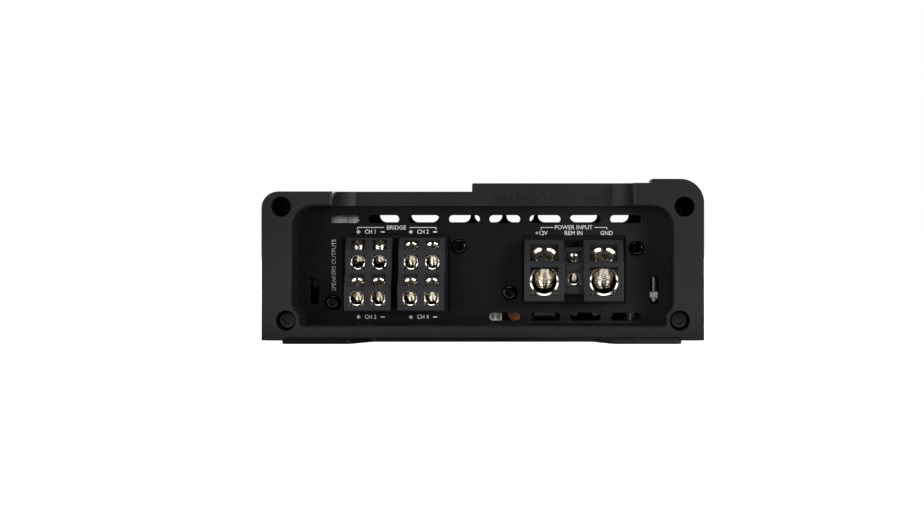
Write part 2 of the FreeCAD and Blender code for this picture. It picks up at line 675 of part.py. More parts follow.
TRANSFORMERS = [(33.0, -46.0), (33.0, 4.0)]
TRANSFORMER = (16.0, 7.5, 9.2, 14.0)  # outer radius, inner radius, underside, height
INDUCTORS = [(-51.0, -78.0), (-20.0, -78.0), (-51.0, -50.0), (-20.0, -50.0)]
INDUCTOR = (9.5, 4.5, 8.6, 8.0)


def transformer_mounts():
    """Plastic pads that carry the ring cores on the board."""
    pads = [rod(10.0, (x, y, BOARD_Z[1]), Z_AXIS, 1.7) for x, y in TRANSFORMERS]
    pads += [rod(6.0, (x, y, BOARD_Z[1]), Z_AXIS, 1.3) for x, y in INDUCTORS]
    return group(pads)


def can(x, y, radius, top):
    """Electrolytic capacitor standing on the board, with a groove near its foot."""
    body = rod(radius, (x, y, BOARD_Z[1]), Z_AXIS, top - BOARD_Z[1])
    body = rounded(body, [e for e in body.Edges if abs(e.CenterOfMass.z - top) < 1e-6], 0.8)
    groove = tube(radius + 1, radius - 0.4, (x, y, BOARD_Z[1] + 2.4), Z_AXIS, 1.0)
    vent = [box(x - radius * 0.6, x + radius * 0.6, y - 0.2, y + 0.2, top - 0.25, top + 1)]
    vent.append(box(x - 0.2, x + 0.2, y - radius * 0.6, y + radius * 0.6, top - 0.25, top + 1))
    return body.cut([groove] + vent)


INPUT_CANS = [(x, -78.0) for x in (14.0, 32.5, 51.0)]
RAIL_CANS = [(x, y) for x in (-34.0, -12.0) for y in (0.0, 24.0)]
FILTER_CAN = (-55.6, -97.5)
POWER_CAN = (57.5, -98.5)


def film_capacitors():
    blocks = []
    for x, y in [(-35.5, y) for y in (-92.0, -78.0, -50.0, -36.0)] + [(-4.5, y) for y in (-78.0, -50.0)]:
        block = box(x - 3.5, x + 3.5, y - 5.0, y + 5.0, BOARD_Z[1], BOARD_Z[1] + 11.0)
        blocks.append(rounded(block, [e for e in block.Edges if e.BoundBox.ZLength > 5], 1.2))
    return group(blocks)


TRANSISTOR_YS = [-84.0 + 24.0 * i for i in range(8)]
CLAMP_BAR_SCREW_YS = [TRANSISTOR_YS[0] + 12.0 + 48.0 * i for i in range(4)]
BAR_HEIGHT = 20.0


def transistors(side):
    """Power transistors flat against one side wall, their legs cranked down to the board."""
    wall = HALF_WIDTH - WALL - 0.3
    devices = []
    for y in TRANSISTOR_YS:
        x0, x1 = sorted((side * wall, side * (wall - 1.3)))
        device = box(x0, x1, y - 5.0, y + 5.0, 15.0, 31.0)
        x0, x1 = sorted((side * wall, side * (wall - 4.4)))
        device = device.fuse(box(x0, x1, y - 5.0, y + 5.0, 15.0, 24.5))
        for dy in (-2.54, 0, 2.54):
            x0, x1 = sorted((side * (wall - 2.2), side * (wall - 2.8)))
            device = device.fuse(box(x0, x1, y + dy - 0.4, y + dy + 0.4, 12.4, 15.1))
            x0, x1 = sorted((side * (wall - 2.2), side * 64.0))
            device = device.fuse(box(x0, x1, y + dy - 0.4, y + dy + 0.4, 12.4, 13.0))
            x0, x1 = sorted((side * 64.0, side * 64.6))
            device = device.fuse(box(x0, x1, y + dy - 0.4, y + dy + 0.4, BOARD_Z[1], 13.0))
        devices.append(device.removeSplitter())
    return group(devices)


def thermal_pad(side):
    x0, x1 = sorted((side * (HALF_WIDTH - WALL), side * (HALF_WIDTH - WALL - 0.3)))
    pad = box(x0, x1, TRANSISTOR_YS[0] - 7, TRANSISTOR_YS[-1] + 7, 14.0, 32.0)
    return pad.cut([rod(1.7, (x0 - 1, y, BAR_HEIGHT), X_AXIS, 3) for y in CLAMP_BAR_SCREW_YS])


def clamp_bar(side):
    """Steel bar that presses the transistors on the wall."""
    face = HALF_WIDTH - WALL - 0.3 - 4.4
    x0, x1 = sorted((side * face, side * (face - 2.0)))
    bar = box(x0, x1, TRANSISTOR_YS[0] - 8, TRANSISTOR_YS[-1] + 8, 16.5, 23.5)
    for y in CLAMP_BAR_SCREW_YS:
        bar = bar.cut(rod(1.7, (side * (face - 5), y, BAR_HEIGHT), X_AXIS * side, 10))
    return bar


def clamp_bar_screws():
    screws = []
    for side in (-1, 1):
        face = HALF_WIDTH - WALL - 0.3 - 4.4 - 2.0
        for y in CLAMP_BAR_SCREW_YS:
            head = rod(2.7, (side * (face - 2.2), y, BAR_HEIGHT), X_AXIS * side, 2.2)
            screw = head.fuse(rod(1.5, (side * (face - 0.1), y, BAR_HEIGHT), X_AXIS * side, 8.6))
            x0, x1 = sorted((side * (face - 2.3), side * (face - 1.1)))
            cross = [box(x0, x1, y - 1.4, y + 1.4, 19.7, 20.3), box(x0, x1, y - 0.3, y + 0.3, 18.6, 21.4)]
            screws.append(screw.cut(cross))
    return group(screws)


def ground_post():
    """Stud, hex spacer, washer and nut that take a ground lead from the floor plate."""
    x, y = 65.0, -106.7
    post = rod(1.9, (x, y, PLATE_THICK), Z_AXIS, 22.0)
    for z, height in ((6.5, 5.0), (15.4, 2.4)):
        post = post.fuse(prism(six_corners(x, y, 3.1), plan_view(z), Vector(0, 0, height)))
    return post.fuse(rod(3.0, (x, y, 14.4), Z_AXIS, 1.1)).removeSplitter()


def signal_header():
    """White pin header at the board's front edge."""
    shell = box(1.6, 6.4, -103.4, -99.4, BOARD_Z[1], BOARD_Z[1] + 3.4)
    pockets = [box(x, x + 1.2, -104, -101.0, BOARD_Z[1] + 0.8, BOARD_Z[1] + 2.6) for x in (2.2, 4.4)]
    return shell.cut(pockets)


def ceramic_capacitors():
    discs = []
    for x, y in ((11.4, -102.6), (-4.0, -98.0)):
        discs.append(rod(2.6, (x, y - 1.0, BOARD_Z[1] + 2.8), Y_AXIS, 2.0))
    return group(discs)


# ---- control end ---------------------------------------------------------------------------------
CONTROL_FACE = -PANEL_FACE  # the control panel's outer face
CONTROL_BACK = -PANEL_BACK
CONTROL_BOARD_Y = (93.9, 95.5)
KNOBS = {  # X, Z
    "gain_knob_front": (-56.0, 32.5),
    "highpass_knob": (-38.5, 32.5),
    "gain_knob_rear": (-56.0, 15.5),
    "lowpass_knob": (-38.5, 15.5),
    "bass_knob": (-21.0, 15.5),
}
SLIDERS = {
    "filter_slider_front": (-21.0, 32.5),
    "filter_slider_rear": (-3.5, 15.5),
    "input_slider": (-3.5, 32.5),
}
JACKS = [(x, z) for x in (29.0, 49.0) for z in (15.0, 33.0)]
LAMPS = [(12.5, 35.5), (12.5, 29.0)]
JACK_SCREW = (39.0, 24.0)
KNOB_SHAFT = 3.0


def control_panel():
    """Sheet at the control end, with taller vent slots 2.3 off centre."""
    panel = at_far_end(blank_panel())
    y = CONTROL_BACK - 1
    cuts = [slot(x + 2.3, 46.3, 13.4, 6.6, y, 4) for x in SLOT_XS]
    cuts += [rod(3.3, (x, y, z), Y_AXIS, 4) for x, z in KNOBS.values()]
    cuts += [box(x - 4.6, x + 4.6, y, y + 4, z - 2.0, z + 2.0) for x, z in SLIDERS.values()]
    cuts += [rod(6.2, (x, y, z), Y_AXIS, 4) for x, z in JACKS]
    cuts += [rod(1.55, (x, y, z), Y_AXIS, 4) for x, z in LAMPS]
    cuts.append(rod(1.6, (JACK_SCREW[0], y, JACK_SCREW[1]), Y_AXIS, 4))
    return panel.cut(cuts)


def knob(name):
    """Knurled knob on its shaft, with a pointer line."""
    x, z = KNOBS[name]
    start = CONTROL_FACE + 0.6
    body = Part.makeCone(4.9, 4.5, 7.4, Vector(x, start, z), Y_AXIS)
    flutes = []
    for i in range(18):
        angle = 2 * math.pi * i / 18
        at = (x + 5.0 * math.cos(angle), start - 1, z + 5.0 * math.sin(angle))
        flutes.append(rod(0.45, at, Y_AXIS, 10))
    body = body.cut(flutes)
    body = body.cut(box(x - 0.35, x + 0.35, start + 6.9, start + 9, z + 1.0, z + 5.0))
    return body.fuse(rod(KNOB_SHAFT, (x, CONTROL_BACK - 6.5, z), Y_AXIS, 9.0)).removeSplitter()


def potentiometers():
    bodies = []
    for x, z in KNOBS.values():
        body = box(x - 5.5, x + 5.5, CONTROL_BOARD_Y[1], CONTROL_BACK - 3.0, z - 6.0, z + 5.5)
        body = body.fuse(rod(4.4, (x, CONTROL_BACK - 3.1, z), Y_AXIS, 2.9))
        bodies.append(body.cut(rod(KNOB_SHAFT + 0.05, (x, CONTROL_BACK - 7.0, z), Y_AXIS, 9)))
    return group(bodies)


SLIDER_TRAVEL = 2.5


def slider(name):
    x, z = SLIDERS[name]
    stem = box(x - 1.9, x + 1.9, CONTROL_BACK - 5.0, CONTROL_FACE + 2.6, z - 1.6, z + 1.6)
    low, high = CONTROL_FACE + 2.2, CONTROL_FACE + 3
    return stem.cut([box(x + dx - 0.2, x + dx + 0.2, low, high, z - 2, z + 2) for dx in (-1, 0, 1)])


def slide_switches():
    bodies = []
    for x, z in SLIDERS.values():
        body = box(x - 6.5, x + 6.5, CONTROL_BACK - 7.0, CONTROL_BACK - 0.2, z - 3.2, z + 3.2)
        body = body.fuse(box(x - 5.5, x + 5.5, CONTROL_BOARD_Y[1], CONTROL_BACK - 6.9, z - 2.4, z + 2.4))
        pocket = box(x - 4.6, x + 4.6, CONTROL_BACK - 5.2, CONTROL_BACK + 1, z - 1.8, z + 1.8)
        bodies.append(body.cut(pocket))
    return group(bodies)


def jack_housing():
    """Moulded block that carries the four phono jacks."""
    xs, zs = [x for x, _ in JACKS], [z for _, z in JACKS]
    y0, y1 = CONTROL_BOARD_Y[1], CONTROL_BACK - 0.1
    body = box(min(xs) - 8.5, max(xs) + 8.5, y0, y1, min(zs) - 8.0, max(zs) + 8.0)
    for x, z in JACKS:
        body = body.fuse(rod(6.0, (x, y1 - 0.1, z), Y_AXIS, 3.6))
    cuts = [rod(JACK_STEM + 0.02, (x, y1 - 8.0, z), Y_AXIS, 20) for x, z in JACKS]
    cuts.append(rod(1.45, (JACK_SCREW[0], y1 - 6, JACK_SCREW[1]), Y_AXIS, 8))
    return body.cut(cuts)


JACK_SHELL = 4.15
JACK_STEM = 3.95
JACK_SHOULDER = CONTROL_FACE + 2.0
JACK_TIP = CONTROL_FACE + 11.0


def jack_shells():
    base = CONTROL_BACK - 8.0
    shells = []
    for x, z in JACKS:
        stem = tube(JACK_STEM, 3.45, (x, base, z), Y_AXIS, JACK_SHOULDER - base)
        sleeve = tube(JACK_SHELL, 3.45, (x, JACK_SHOULDER, z), Y_AXIS, JACK_TIP - JACK_SHOULDER)
        shells.append(stem.fuse(sleeve))
    return group(shells)


def jack_cores():
    """Insulator and centre contact inside each shell."""
    base = CONTROL_BACK - 8.0
    face = CONTROL_FACE + 2.0
    return group(tube(3.43, 1.65, (x, base, z), Y_AXIS, face - base) for x, z in JACKS)


def jack_contacts():
    base = CONTROL_BACK - 7.0
    return group(tube(1.63, 1.1, (x, base, z), Y_AXIS, CONTROL_FACE + 2.4 - base) for x, z in JACKS)


def lamps():
    """Two indicator lamps that look out of the panel."""
    lamp_solids = []
    for x, z in LAMPS:
        body = rod(1.5, (x, CONTROL_BOARD_Y[1], z), Y_AXIS, CONTROL_FACE + 0.4 - CONTROL_BOARD_Y[1])
        dome = Part.makeSphere(1.5, Vector(x, CONTROL_FACE + 0.4, z))
        lamp_solids.append(body.fuse(dome).removeSplitter())
    return group(lamp_solids)


def control_board():
    return box(-64.0, 60.0, *CONTROL_BOARD_Y, 7.6, 41.0)


def board_link():
    """Right-angle header that joins the two boards."""
    return box(-30.0, 12.0, CONTROL_BOARD_Y[0] - 3.0, CONTROL_BOARD_Y[0], BOARD_Z[1], 12.6)


# ---- build ---------------------------------------------------------------------------------------
def build():
    cap = end_cap()
    part("terminal_end_cap", joined([cap] + brow_ribs()))
    part("control_end_cap", at_far_end(cap))
    part("heatsink", heatsink())
    part("deck_plate", deck_plate())
    part("base_plate", base_plate())
    part("base_screws", base_screws())
    part("terminal_panel", terminal_panel())
    part("control_panel", control_panel())
    part("cap_screws", group([cap_screws(), at_far_end(cap_screws())]))
    panel_screws = [button_screw(x, z, PANEL_FACE) for x, z in TERMINAL_PANEL_SCREWS]
    part("panel_screws", group(panel_screws + [at_far_end(button_screw(*JACK_SCREW, PANEL_FACE))]))

    part("speaker_block_left", speaker_housing(0, (-62.5, -33.85), TERMINAL_PANEL_SCREWS[0]))
    part("speaker_block_right", speaker_housing(1, (-33.55, -5.3), TERMINAL_PANEL_SCREWS[1]))
    part("power_block", power_housing())
    speaker_clamps = [
        clamp(f"ch{channel}_{pole}", tail, 1.5, 0.8)
        for channel, tail in SPEAKER_TAILS.items()
        for pole in ("plus", "minus")
    ]
    part("speaker_clamps", group(speaker_clamps))
    part("power_clamps", group(clamp(n, POWER_TAIL, 4.0, 1.5) for n in ("battery", "ground")))
    part("remote_clamp", clamp("remote", POWER_TAIL, 1.5, 0.8))
    for name in TERMINALS:
        part(f"screw_{name}", terminal_screw(name))

    part("main_board", main_board())
    part("standoffs", standoffs())
    part("board_screws", board_screws())
    outer, inner, z0, height = TRANSFORMER
    part("transformer_cores", group(ring_core(x, y, outer, inner, z0, height) for x, y in TRANSFORMERS))
    part("transformer_windings", group(winding(x, y, *TRANSFORMER, 1.3, 24) for x, y in TRANSFORMERS))
    outer, inner, z0, height = INDUCTOR
    part("inductor_cores", group(ring_core(x, y, outer, inner, z0, height) for x, y in INDUCTORS))
    part("inductor_windings", group(winding(x, y, *INDUCTOR, 1.1, 16) for x, y in INDUCTORS))
    part("core_mounts", transformer_mounts())
    input_cans = [can(x, y, 8.0, 38.0) for x, y in INPUT_CANS]
    input_cans += [can(*FILTER_CAN, 6.0, 48.3), can(*POWER_CAN, 5.0, 26.0)]
    part("input_capacitors", group(input_cans))
    part("rail_capacitors", group(can(x, y, 9.0, 40.0) for x, y in RAIL_CANS))
    part("film_capacitors", group([film_capacitors(), ceramic_capacitors()]))
    part("transistors", group([transistors(-1), transistors(1)]))
    part("thermal_pads", group([thermal_pad(-1), thermal_pad(1)]))
    part("clamp_bars", group([clamp_bar(-1), clamp_bar(1)]))
    part("clamp_bar_screws", clamp_bar_screws())
    part("ground_post", ground_post())

    part("control_board", control_board())
    part("board_headers", group([signal_header(), board_link()]))
    part("potentiometers", potentiometers())
    part("slide_switches", slide_switches())
    part("jack_housing", jack_housing())
    part("jack_shells", group([jack_shells(), jack_contacts()]))
    part("jack_cores", jack_cores())
    part("lamps", lamps())
    for name in KNOBS:
        part(name, knob(name))
    for name in SLIDERS:
        part(name, slider(name))


def save():
    os.makedirs("parts", exist_ok=True)
    for old in os.listdir("parts"):
        if old.endswith(".step") and old[:-5] not in PARTS:
            os.remove(os.path.join("parts", old))
    for name, shape in PARTS.items():
        shape.exportStep(f"parts/{name}.step")
    whole = Part.makeCompound(list(PARTS.values())).BoundBox
    overall = [round(v, 2) for v in (whole.XLength, whole.YLength, whole.ZLength)]
    print(len(PARTS), "nodes; overall", overall)


build()
save()
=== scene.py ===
import json
import math

import bmesh
import bpy
from mathutils import Matrix, Vector


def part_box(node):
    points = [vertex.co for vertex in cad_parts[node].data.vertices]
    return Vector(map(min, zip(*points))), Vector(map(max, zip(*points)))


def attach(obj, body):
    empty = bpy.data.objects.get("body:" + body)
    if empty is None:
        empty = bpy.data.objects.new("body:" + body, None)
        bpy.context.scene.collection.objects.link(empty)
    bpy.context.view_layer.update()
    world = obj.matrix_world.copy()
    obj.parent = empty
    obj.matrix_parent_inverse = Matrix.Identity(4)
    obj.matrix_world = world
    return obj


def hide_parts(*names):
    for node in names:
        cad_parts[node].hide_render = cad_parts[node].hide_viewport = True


# A car amplifier on a pale floor. Metres, +Z up, the terminal end faces -Y.

MM = 0.001
CAMERA_AT = Vector((0.02664, -0.923, 0.05044))
LENS = 82.3
SHIFT = (-0.0996, -0.0503)  # the camera looks straight along +Y, with the frame moved left and down
BODY = "amplifier"

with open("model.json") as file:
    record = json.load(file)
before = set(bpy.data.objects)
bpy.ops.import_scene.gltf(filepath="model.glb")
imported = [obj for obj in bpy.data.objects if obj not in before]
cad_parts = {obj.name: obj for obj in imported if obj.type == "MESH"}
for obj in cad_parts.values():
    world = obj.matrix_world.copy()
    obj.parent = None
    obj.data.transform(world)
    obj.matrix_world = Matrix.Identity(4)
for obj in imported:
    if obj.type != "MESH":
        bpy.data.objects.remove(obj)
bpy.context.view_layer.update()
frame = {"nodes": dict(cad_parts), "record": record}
NODES = frame["nodes"]


def place_of(node):
    """Low and high corners of a CAD node's box."""
    low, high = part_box(node)
    return Vector(low), Vector(high)


# ---- materials ----------------------------------------------------------------------------------
class Shader:
    """A node tree built in order, with the object's own coordinates as its only input."""

    def __init__(self, name):
        self.material = bpy.data.materials.new(name)
        self.material.use_nodes = True
        self.tree = self.material.node_tree
        self.surface = self.tree.nodes["Principled BSDF"]
        self.position = self.add("ShaderNodeTexCoord").outputs["Object"]

    def add(self, kind, **values):
        node = self.tree.nodes.new(kind)
        for key, value in values.items():
            setattr(node, key, value)
        return node

    def link(self, source, target):
        self.tree.links.new(source, target)

    def noise(self, scale, detail=2.0, stretch=(1, 1, 1)):
        mapping = self.add("ShaderNodeMapping")
        mapping.inputs["Scale"].default_value = stretch
        self.link(self.position, mapping.inputs["Vector"])
        noise = self.add("ShaderNodeTexNoise")
        noise.inputs["Scale"].default_value = scale
        noise.inputs["Detail"].default_value = detail
        self.link(mapping.outputs["Vector"], noise.inputs["Vector"])
        return noise.outputs["Fac"]

    def spread(self, value, low, high):
        """A value from 0 to 1 mapped to low..high."""
        ramp = self.add("ShaderNodeMapRange")
        ramp.inputs["From Min"].default_value = 0.3
        ramp.inputs["From Max"].default_value = 0.7
        ramp.inputs["To Min"].default_value = low
        ramp.inputs["To Max"].default_value = high
        self.link(value, ramp.inputs["Value"])
        return ramp.outputs["Result"]

    def blend(self, factor, a, b):
        mix = self.add("ShaderNodeMix", data_type="RGBA")
        for socket, value in (("A", a), ("B", b)):
            target = next(s for s in mix.inputs if s.name == socket and s.type == "RGBA")
            if isinstance(value, (tuple, list)):
                target.default_value = (*value, 1.0)
            else:
                self.link(value, target)
        self.link(factor, mix.inputs["Factor"])
        return next(s for s in mix.outputs if s.type == "RGBA")

    def calc(self, operation, a, b):
        node = self.add("ShaderNodeMath", operation=operation)
        for socket, value in zip(node.inputs, (a, b)):
            if isinstance(value, (int, float)):
                socket.default_value = value
            else:
                self.link(value, socket)
        return node.outputs["Value"]

    def axes(self, vector):
        split = self.add("ShaderNodeSeparateXYZ")
        self.link(vector, split.inputs["Vector"])
        return split.outputs["X"], split.outputs["Y"], split.outputs["Z"]

    def facing_up(self):
        """1 where the surface faces up."""
        normal = self.add("ShaderNodeNewGeometry").outputs["Normal"]
        return self.calc("GREATER_THAN", self.axes(normal)[2], 0.85)

    def bump(self, height, strength, distance, under=None):
        bump = self.add("ShaderNodeBump")
        bump.inputs["Strength"].default_value = strength
        bump.inputs["Distance"].default_value = distance
        self.link(height, bump.inputs["Height"])
        if under is not None:
            self.link(under, bump.inputs["Normal"])
        return bump.outputs["Normal"]


def finish_of(name, colour, roughness, metallic=0.0, grain=1500.0, relief=0.25, depth=0.05, vary=0.25,
              stretch=(1, 1, 1), coat=0.0, edge=0.0, specular=0.5):
    """A surface with fine relief, and slow changes of shade and gloss. Lengths in millimetres."""
    s = Shader(name)
    slow = s.noise(35.0, 3.0)
    fine = s.noise(grain, 2.0, stretch)
    dark = tuple(c * (1 - vary) for c in colour)
    light = tuple(min(1.0, c * (1 + vary)) for c in colour)
    s.link(s.blend(s.spread(slow, 0.0, 1.0), dark, light), s.surface.inputs["Base Color"])
    gloss = s.spread(fine, max(0.02, roughness - 0.07), min(1.0, roughness + 0.07))
    s.link(gloss, s.surface.inputs["Roughness"])
    s.surface.inputs["Metallic"].default_value = metallic
    s.surface.inputs["Coat Weight"].default_value = coat
    s.surface.inputs["Coat Roughness"].default_value = 0.15
    s.surface.inputs["Specular IOR Level"].default_value = specular
    under = None
    if edge:
        bevel = s.add("ShaderNodeBevel", samples=6)
        bevel.inputs["Radius"].default_value = edge * MM
        under = bevel.outputs["Normal"]
    s.link(s.bump(fine, relief, depth * MM, under), s.surface.inputs["Normal"])
    return s


FINISHES = {
    "satin_black": dict(
        colour=(0.0122, 0.0122, 0.0152),
        roughness=0.46, grain=1400, relief=0.3, edge=0.35, specular=0.22,
    ),
    "sheet_black": dict(
        colour=(0.0038, 0.0038, 0.0052),
        roughness=0.5, grain=1700, relief=0.3, edge=0.2, specular=0.12,
    ),
    "anodised_black": dict(
        colour=(0.05, 0.05, 0.055),
        roughness=0.32, metallic=0.9, grain=900, stretch=(1, 0.03, 1),
    ),
    "black_oxide": dict(
        colour=(0.02, 0.02, 0.022),
        roughness=0.17, metallic=1.0, grain=2500, relief=0.1, edge=0.15,
    ),
    "housing_grey": dict(
        colour=(0.022, 0.0225, 0.025),
        roughness=0.5, grain=2600, relief=0.35, edge=0.22, specular=0.2,
    ),
    "nickel": dict(
        colour=(0.62, 0.58, 0.51),
        roughness=0.15, metallic=1.0, grain=1800, relief=0.06, edge=0.08,
    ),
    "screw_nickel": dict(
        colour=(0.66, 0.61, 0.54),
        roughness=0.2, metallic=1.0, grain=2200, relief=0.1,
    ),
    "board_green": dict(colour=(0.01, 0.09, 0.035), roughness=0.3, grain=600, relief=0.3, coat=0.4),
    "steel": dict(colour=(0.7, 0.7, 0.7), roughness=0.3, metallic=0.7, grain=1600, relief=0.15),
    "ferrite": dict(colour=(0.03, 0.09, 0.05), roughness=0.5, grain=900, relief=0.3),
    "copper": dict(
        colour=(0.62, 0.23, 0.07),
        roughness=0.28, metallic=0.9, grain=900, relief=0.15, coat=0.3,
    ),
    "moulding_black": dict(
        colour=(0.015, 0.015, 0.016),
        roughness=0.5, grain=2200, relief=0.3, edge=0.15,
    ),
    "can_sleeve": dict(colour=(0.02, 0.022, 0.03), roughness=0.3, grain=500, relief=0.1, coat=0.3),
    "film_brown": dict(colour=(0.3, 0.08, 0.02), roughness=0.35, grain=700, relief=0.15, coat=0.3),
    "pad_grey": dict(colour=(0.35, 0.37, 0.38), roughness=0.7, grain=1500, relief=0.3),
    "header_white": dict(colour=(0.75, 0.74, 0.69), roughness=0.45, grain=1800, relief=0.15),
    "pot_case": dict(colour=(0.03, 0.05, 0.11), roughness=0.45, grain=1800, relief=0.2),
    "jack_plating": dict(
        colour=(0.85, 0.6, 0.22),
        roughness=0.2, metallic=1.0, grain=1800, relief=0.1, edge=0.1,
    ),
    "jack_insert": dict(colour=(0.72, 0.72, 0.7), roughness=0.4, grain=1500, relief=0.12),
    "lamp_lens": dict(colour=(0.25, 0.5, 0.85), roughness=0.12, grain=800, relief=0.05, coat=0.6),
    "knob_black": dict(colour=(0.014, 0.014, 0.015), roughness=0.48, grain=2200, relief=0.3, edge=0.15),
    "slider_grey": dict(colour=(0.12, 0.12, 0.125), roughness=0.45, grain=2000, relief=0.2, edge=0.12),
    "legend_white": dict(colour=(0.8, 0.8, 0.78), roughness=0.55, grain=2500, relief=0.2, vary=0.05),
}
SHADERS = {name: finish_of(name, **values) for name, values in FINISHES.items()}
SURFACES = {name: shader.material for name, shader in SHADERS.items()}


def bare_metal_where(shader, mask):
    """Turns part of a surface into bare aluminium."""
    base = shader.surface.inputs["Base Color"]
    sleeve = base.links[0].from_socket
    shader.link(shader.blend(mask, sleeve, (0.95, 0.95, 0.97)), base)
    shader.link(shader.calc("MULTIPLY", mask, 0.1), shader.surface.inputs["Metallic"])


def recolour_where(shader, mask, colour):
    """Gives part of a surface another colour."""
    base = shader.surface.inputs["Base Color"]
    shader.link(shader.blend(mask, base.links[0].from_socket, colour), base)


PANEL_REAR = -0.1125  # Y behind which the moulded blocks are inside the amplifier; behind it they get painted shade
CLAMP_REAR = -0.108  # Y behind which the clamps are inside it; behind it they get painted shade
BARE_CAN_X = -0.0485  # the can further out than this has no sleeve
RED_JACK_Z = 0.024  # the jacks below this are the red ones


def detail_surfaces():
    """Bare tops on the cans, one bare can, painted shade on the blocks and clamps behind the panel, painted
    light making the sheet parts paler towards +X, red jacks.
    """
    cans = SHADERS["can_sleeve"]
    bare_can = cans.calc("LESS_THAN", cans.axes(cans.position)[0], BARE_CAN_X)
    bare_metal_where(cans, cans.calc("MAXIMUM", cans.facing_up(), bare_can))
    # Painted shade: the moulded blocks behind the panel are made near black.
    housing = SHADERS["housing_grey"]
    painted_shade_behind_panel = housing.calc("GREATER_THAN", housing.axes(housing.position)[1], PANEL_REAR)
    recolour_where(housing, painted_shade_behind_panel, (0.002, 0.002, 0.002))
    # Painted shade: the nickel clamps behind the panel are made dark grey.
    clamps = SHADERS["nickel"]
    painted_shade_on_tails = clamps.calc("GREATER_THAN", clamps.axes(clamps.position)[1], CLAMP_REAR)
    recolour_where(clamps, painted_shade_on_tails, (0.06, 0.055, 0.05))
    # Painted light: the black sheet parts are made paler towards +X, standing in for a lamp's sheen there.
    sheet = SHADERS["sheet_black"]
    painted_light_towards_right = sheet.calc("MULTIPLY_ADD", sheet.axes(sheet.position)[0], 18.0)
    painted_light_towards_right.node.inputs[2].default_value = -0.2
    painted_light_towards_right.node.use_clamp = True
    recolour_where(sheet, painted_light_towards_right, (0.022, 0.022, 0.025))
    jacks = SHADERS["jack_insert"]
    red = jacks.calc("LESS_THAN", jacks.axes(jacks.position)[2], RED_JACK_Z)
    recolour_where(jacks, red, (0.55, 0.02, 0.02))


SLOT_OF = {s["node"]: s["material_slot"] for s in frame["record"]["subparts"]}


def paint_cad_nodes():
    for name, obj in NODES.items():
        obj.data.materials.clear()
        obj.data.materials.append(SURFACES[SLOT_OF[name]])


# ---- pieces -------------------------------------------------------------------------------------
def add_mesh(name, vertices, faces, surface):
    mesh = bpy.data.meshes.new(name)
    mesh.from_pydata([tuple(v) for v in vertices], [], faces)
    mesh.update()
    mesh.materials.append(SURFACES[surface])
    obj = bpy.data.objects.new(name, mesh)
    bpy.context.scene.collection.objects.link(obj)
    return obj


def smooth_by_angle(obj, degrees):
    limit = math.radians(degrees)
    form = bmesh.new()
    form.from_mesh(obj.data)
    for face in form.faces:
        face.smooth = True
    for edge in form.edges:
        edge.smooth = len(edge.link_faces) == 2 and edge.calc_face_angle(math.pi) < limit
    form.to_mesh(obj.data)
    form.free()


def subtract(obj, cutters):
    """Cuts each cutter out of obj and removes it."""
    for cutter in cutters:
        step = obj.modifiers.new("cut", "BOOLEAN")
        step.operation = "DIFFERENCE"
        step.solver = "EXACT"
        step.object = cutter
        depsgraph = bpy.context.evaluated_depsgraph_get()
        mesh = bpy.data.meshes.new_from_object(obj.evaluated_get(depsgraph))
        obj.modifiers.clear()
        old = obj.data
        obj.data = mesh
        bpy.data.meshes.remove(old)
        bpy.data.objects.remove(cutter)


BOX_FACES = [(0, 1, 2, 3), (7, 6, 5, 4), (0, 4, 5, 1), (1, 5, 6, 2), (2, 6, 7, 3), (3, 7, 4, 0)]


def tapered_bar(name, length, width, depth, taper, surface):
    """A bar from z = 0 downwards that narrows by taper; it starts a little above 0."""
    vertices = []
    for z, scale in ((0.1 * depth, 1.02), (-depth, taper)):
        for sx, sy in ((-1, -1), (1, -1), (1, 1), (-1, 1)):
            vertices.append((sx * length * scale, sy * width * (0.7 + 0.3 * scale), z))
    return add_mesh(name, vertices, BOX_FACES, surface)


def threaded_screw(name, radius, length, pitch, surface):
    """Set screw along -Z from its head at z = 0, with a rolled thread and a cross recess."""
    around, per_turn = 40, 10
    rows = int(length / pitch * per_turn)
    depth = 0.55 * pitch
    bevel = 0.22 * radius
    vertices, faces = [], []
    for i in range(rows + 1):
        z = length * i / rows
        cone = min(radius - bevel + z * 1.0, radius - 1.6 * bevel + (length - z) * 0.8)
        for j in range(around):
            turn = (z / pitch + j / around) % 1.0
            wave = abs(turn - 0.5) * 2.0
            wave = wave * wave * (3.0 - 2.0 * wave)
            r = min(radius - depth * wave, cone)
            angle = 2 * math.pi * j / around
            vertices.append((r * math.cos(angle), r * math.sin(angle), -z))
    for i in range(rows):
        for j in range(around):
            k = (j + 1) % around
            faces.append((i * around + j, (i + 1) * around + j, (i + 1) * around + k, i * around + k))
    faces.append(tuple(range(around)))
    faces.append(tuple(rows * around + j for j in reversed(range(around))))
    screw = add_mesh(name, vertices, faces, surface)
    wide, narrow, deep = radius * 0.66, radius * 0.17, radius * 0.85
    bars = [tapered_bar("cut", wide, narrow, deep, 0.45, surface) for _ in range(2)]
    bars[1].data.transform(Matrix.Rotation(math.pi / 2, 4, "Z"))
    core = tapered_bar("cut", narrow * 1.75, narrow * 1.75, deep * 1.05, 0.4, surface)
    core.data.transform(Matrix.Rotation(math.pi / 4, 4, "Z"))
    subtract(screw, bars + [core])
    smooth_by_angle(screw, 38)
    return screw


SLOPE = math.sqrt(0.5)
INK = 0.02 * MM  # half the thickness of print
SPREAD = 0.02 * MM  # print is this much bolder all round than its letters
HEAD_TURNS = {"screw_ch1_plus": 20, "screw_ch1_minus": 62, "screw_ch2_plus": 5, "screw_ch2_minus": 48,
              "screw_ch3_plus": 75, "screw_ch3_minus": 33, "screw_ch4_plus": 58, "screw_ch4_minus": 12,
              "screw_battery": 4, "screw_ground": 27, "screw_remote": 40}
PITCHES = ((1.8, 0.7), (3.0, 0.8), (9.0, 1.25))  # largest radius in millimetres, thread pitch


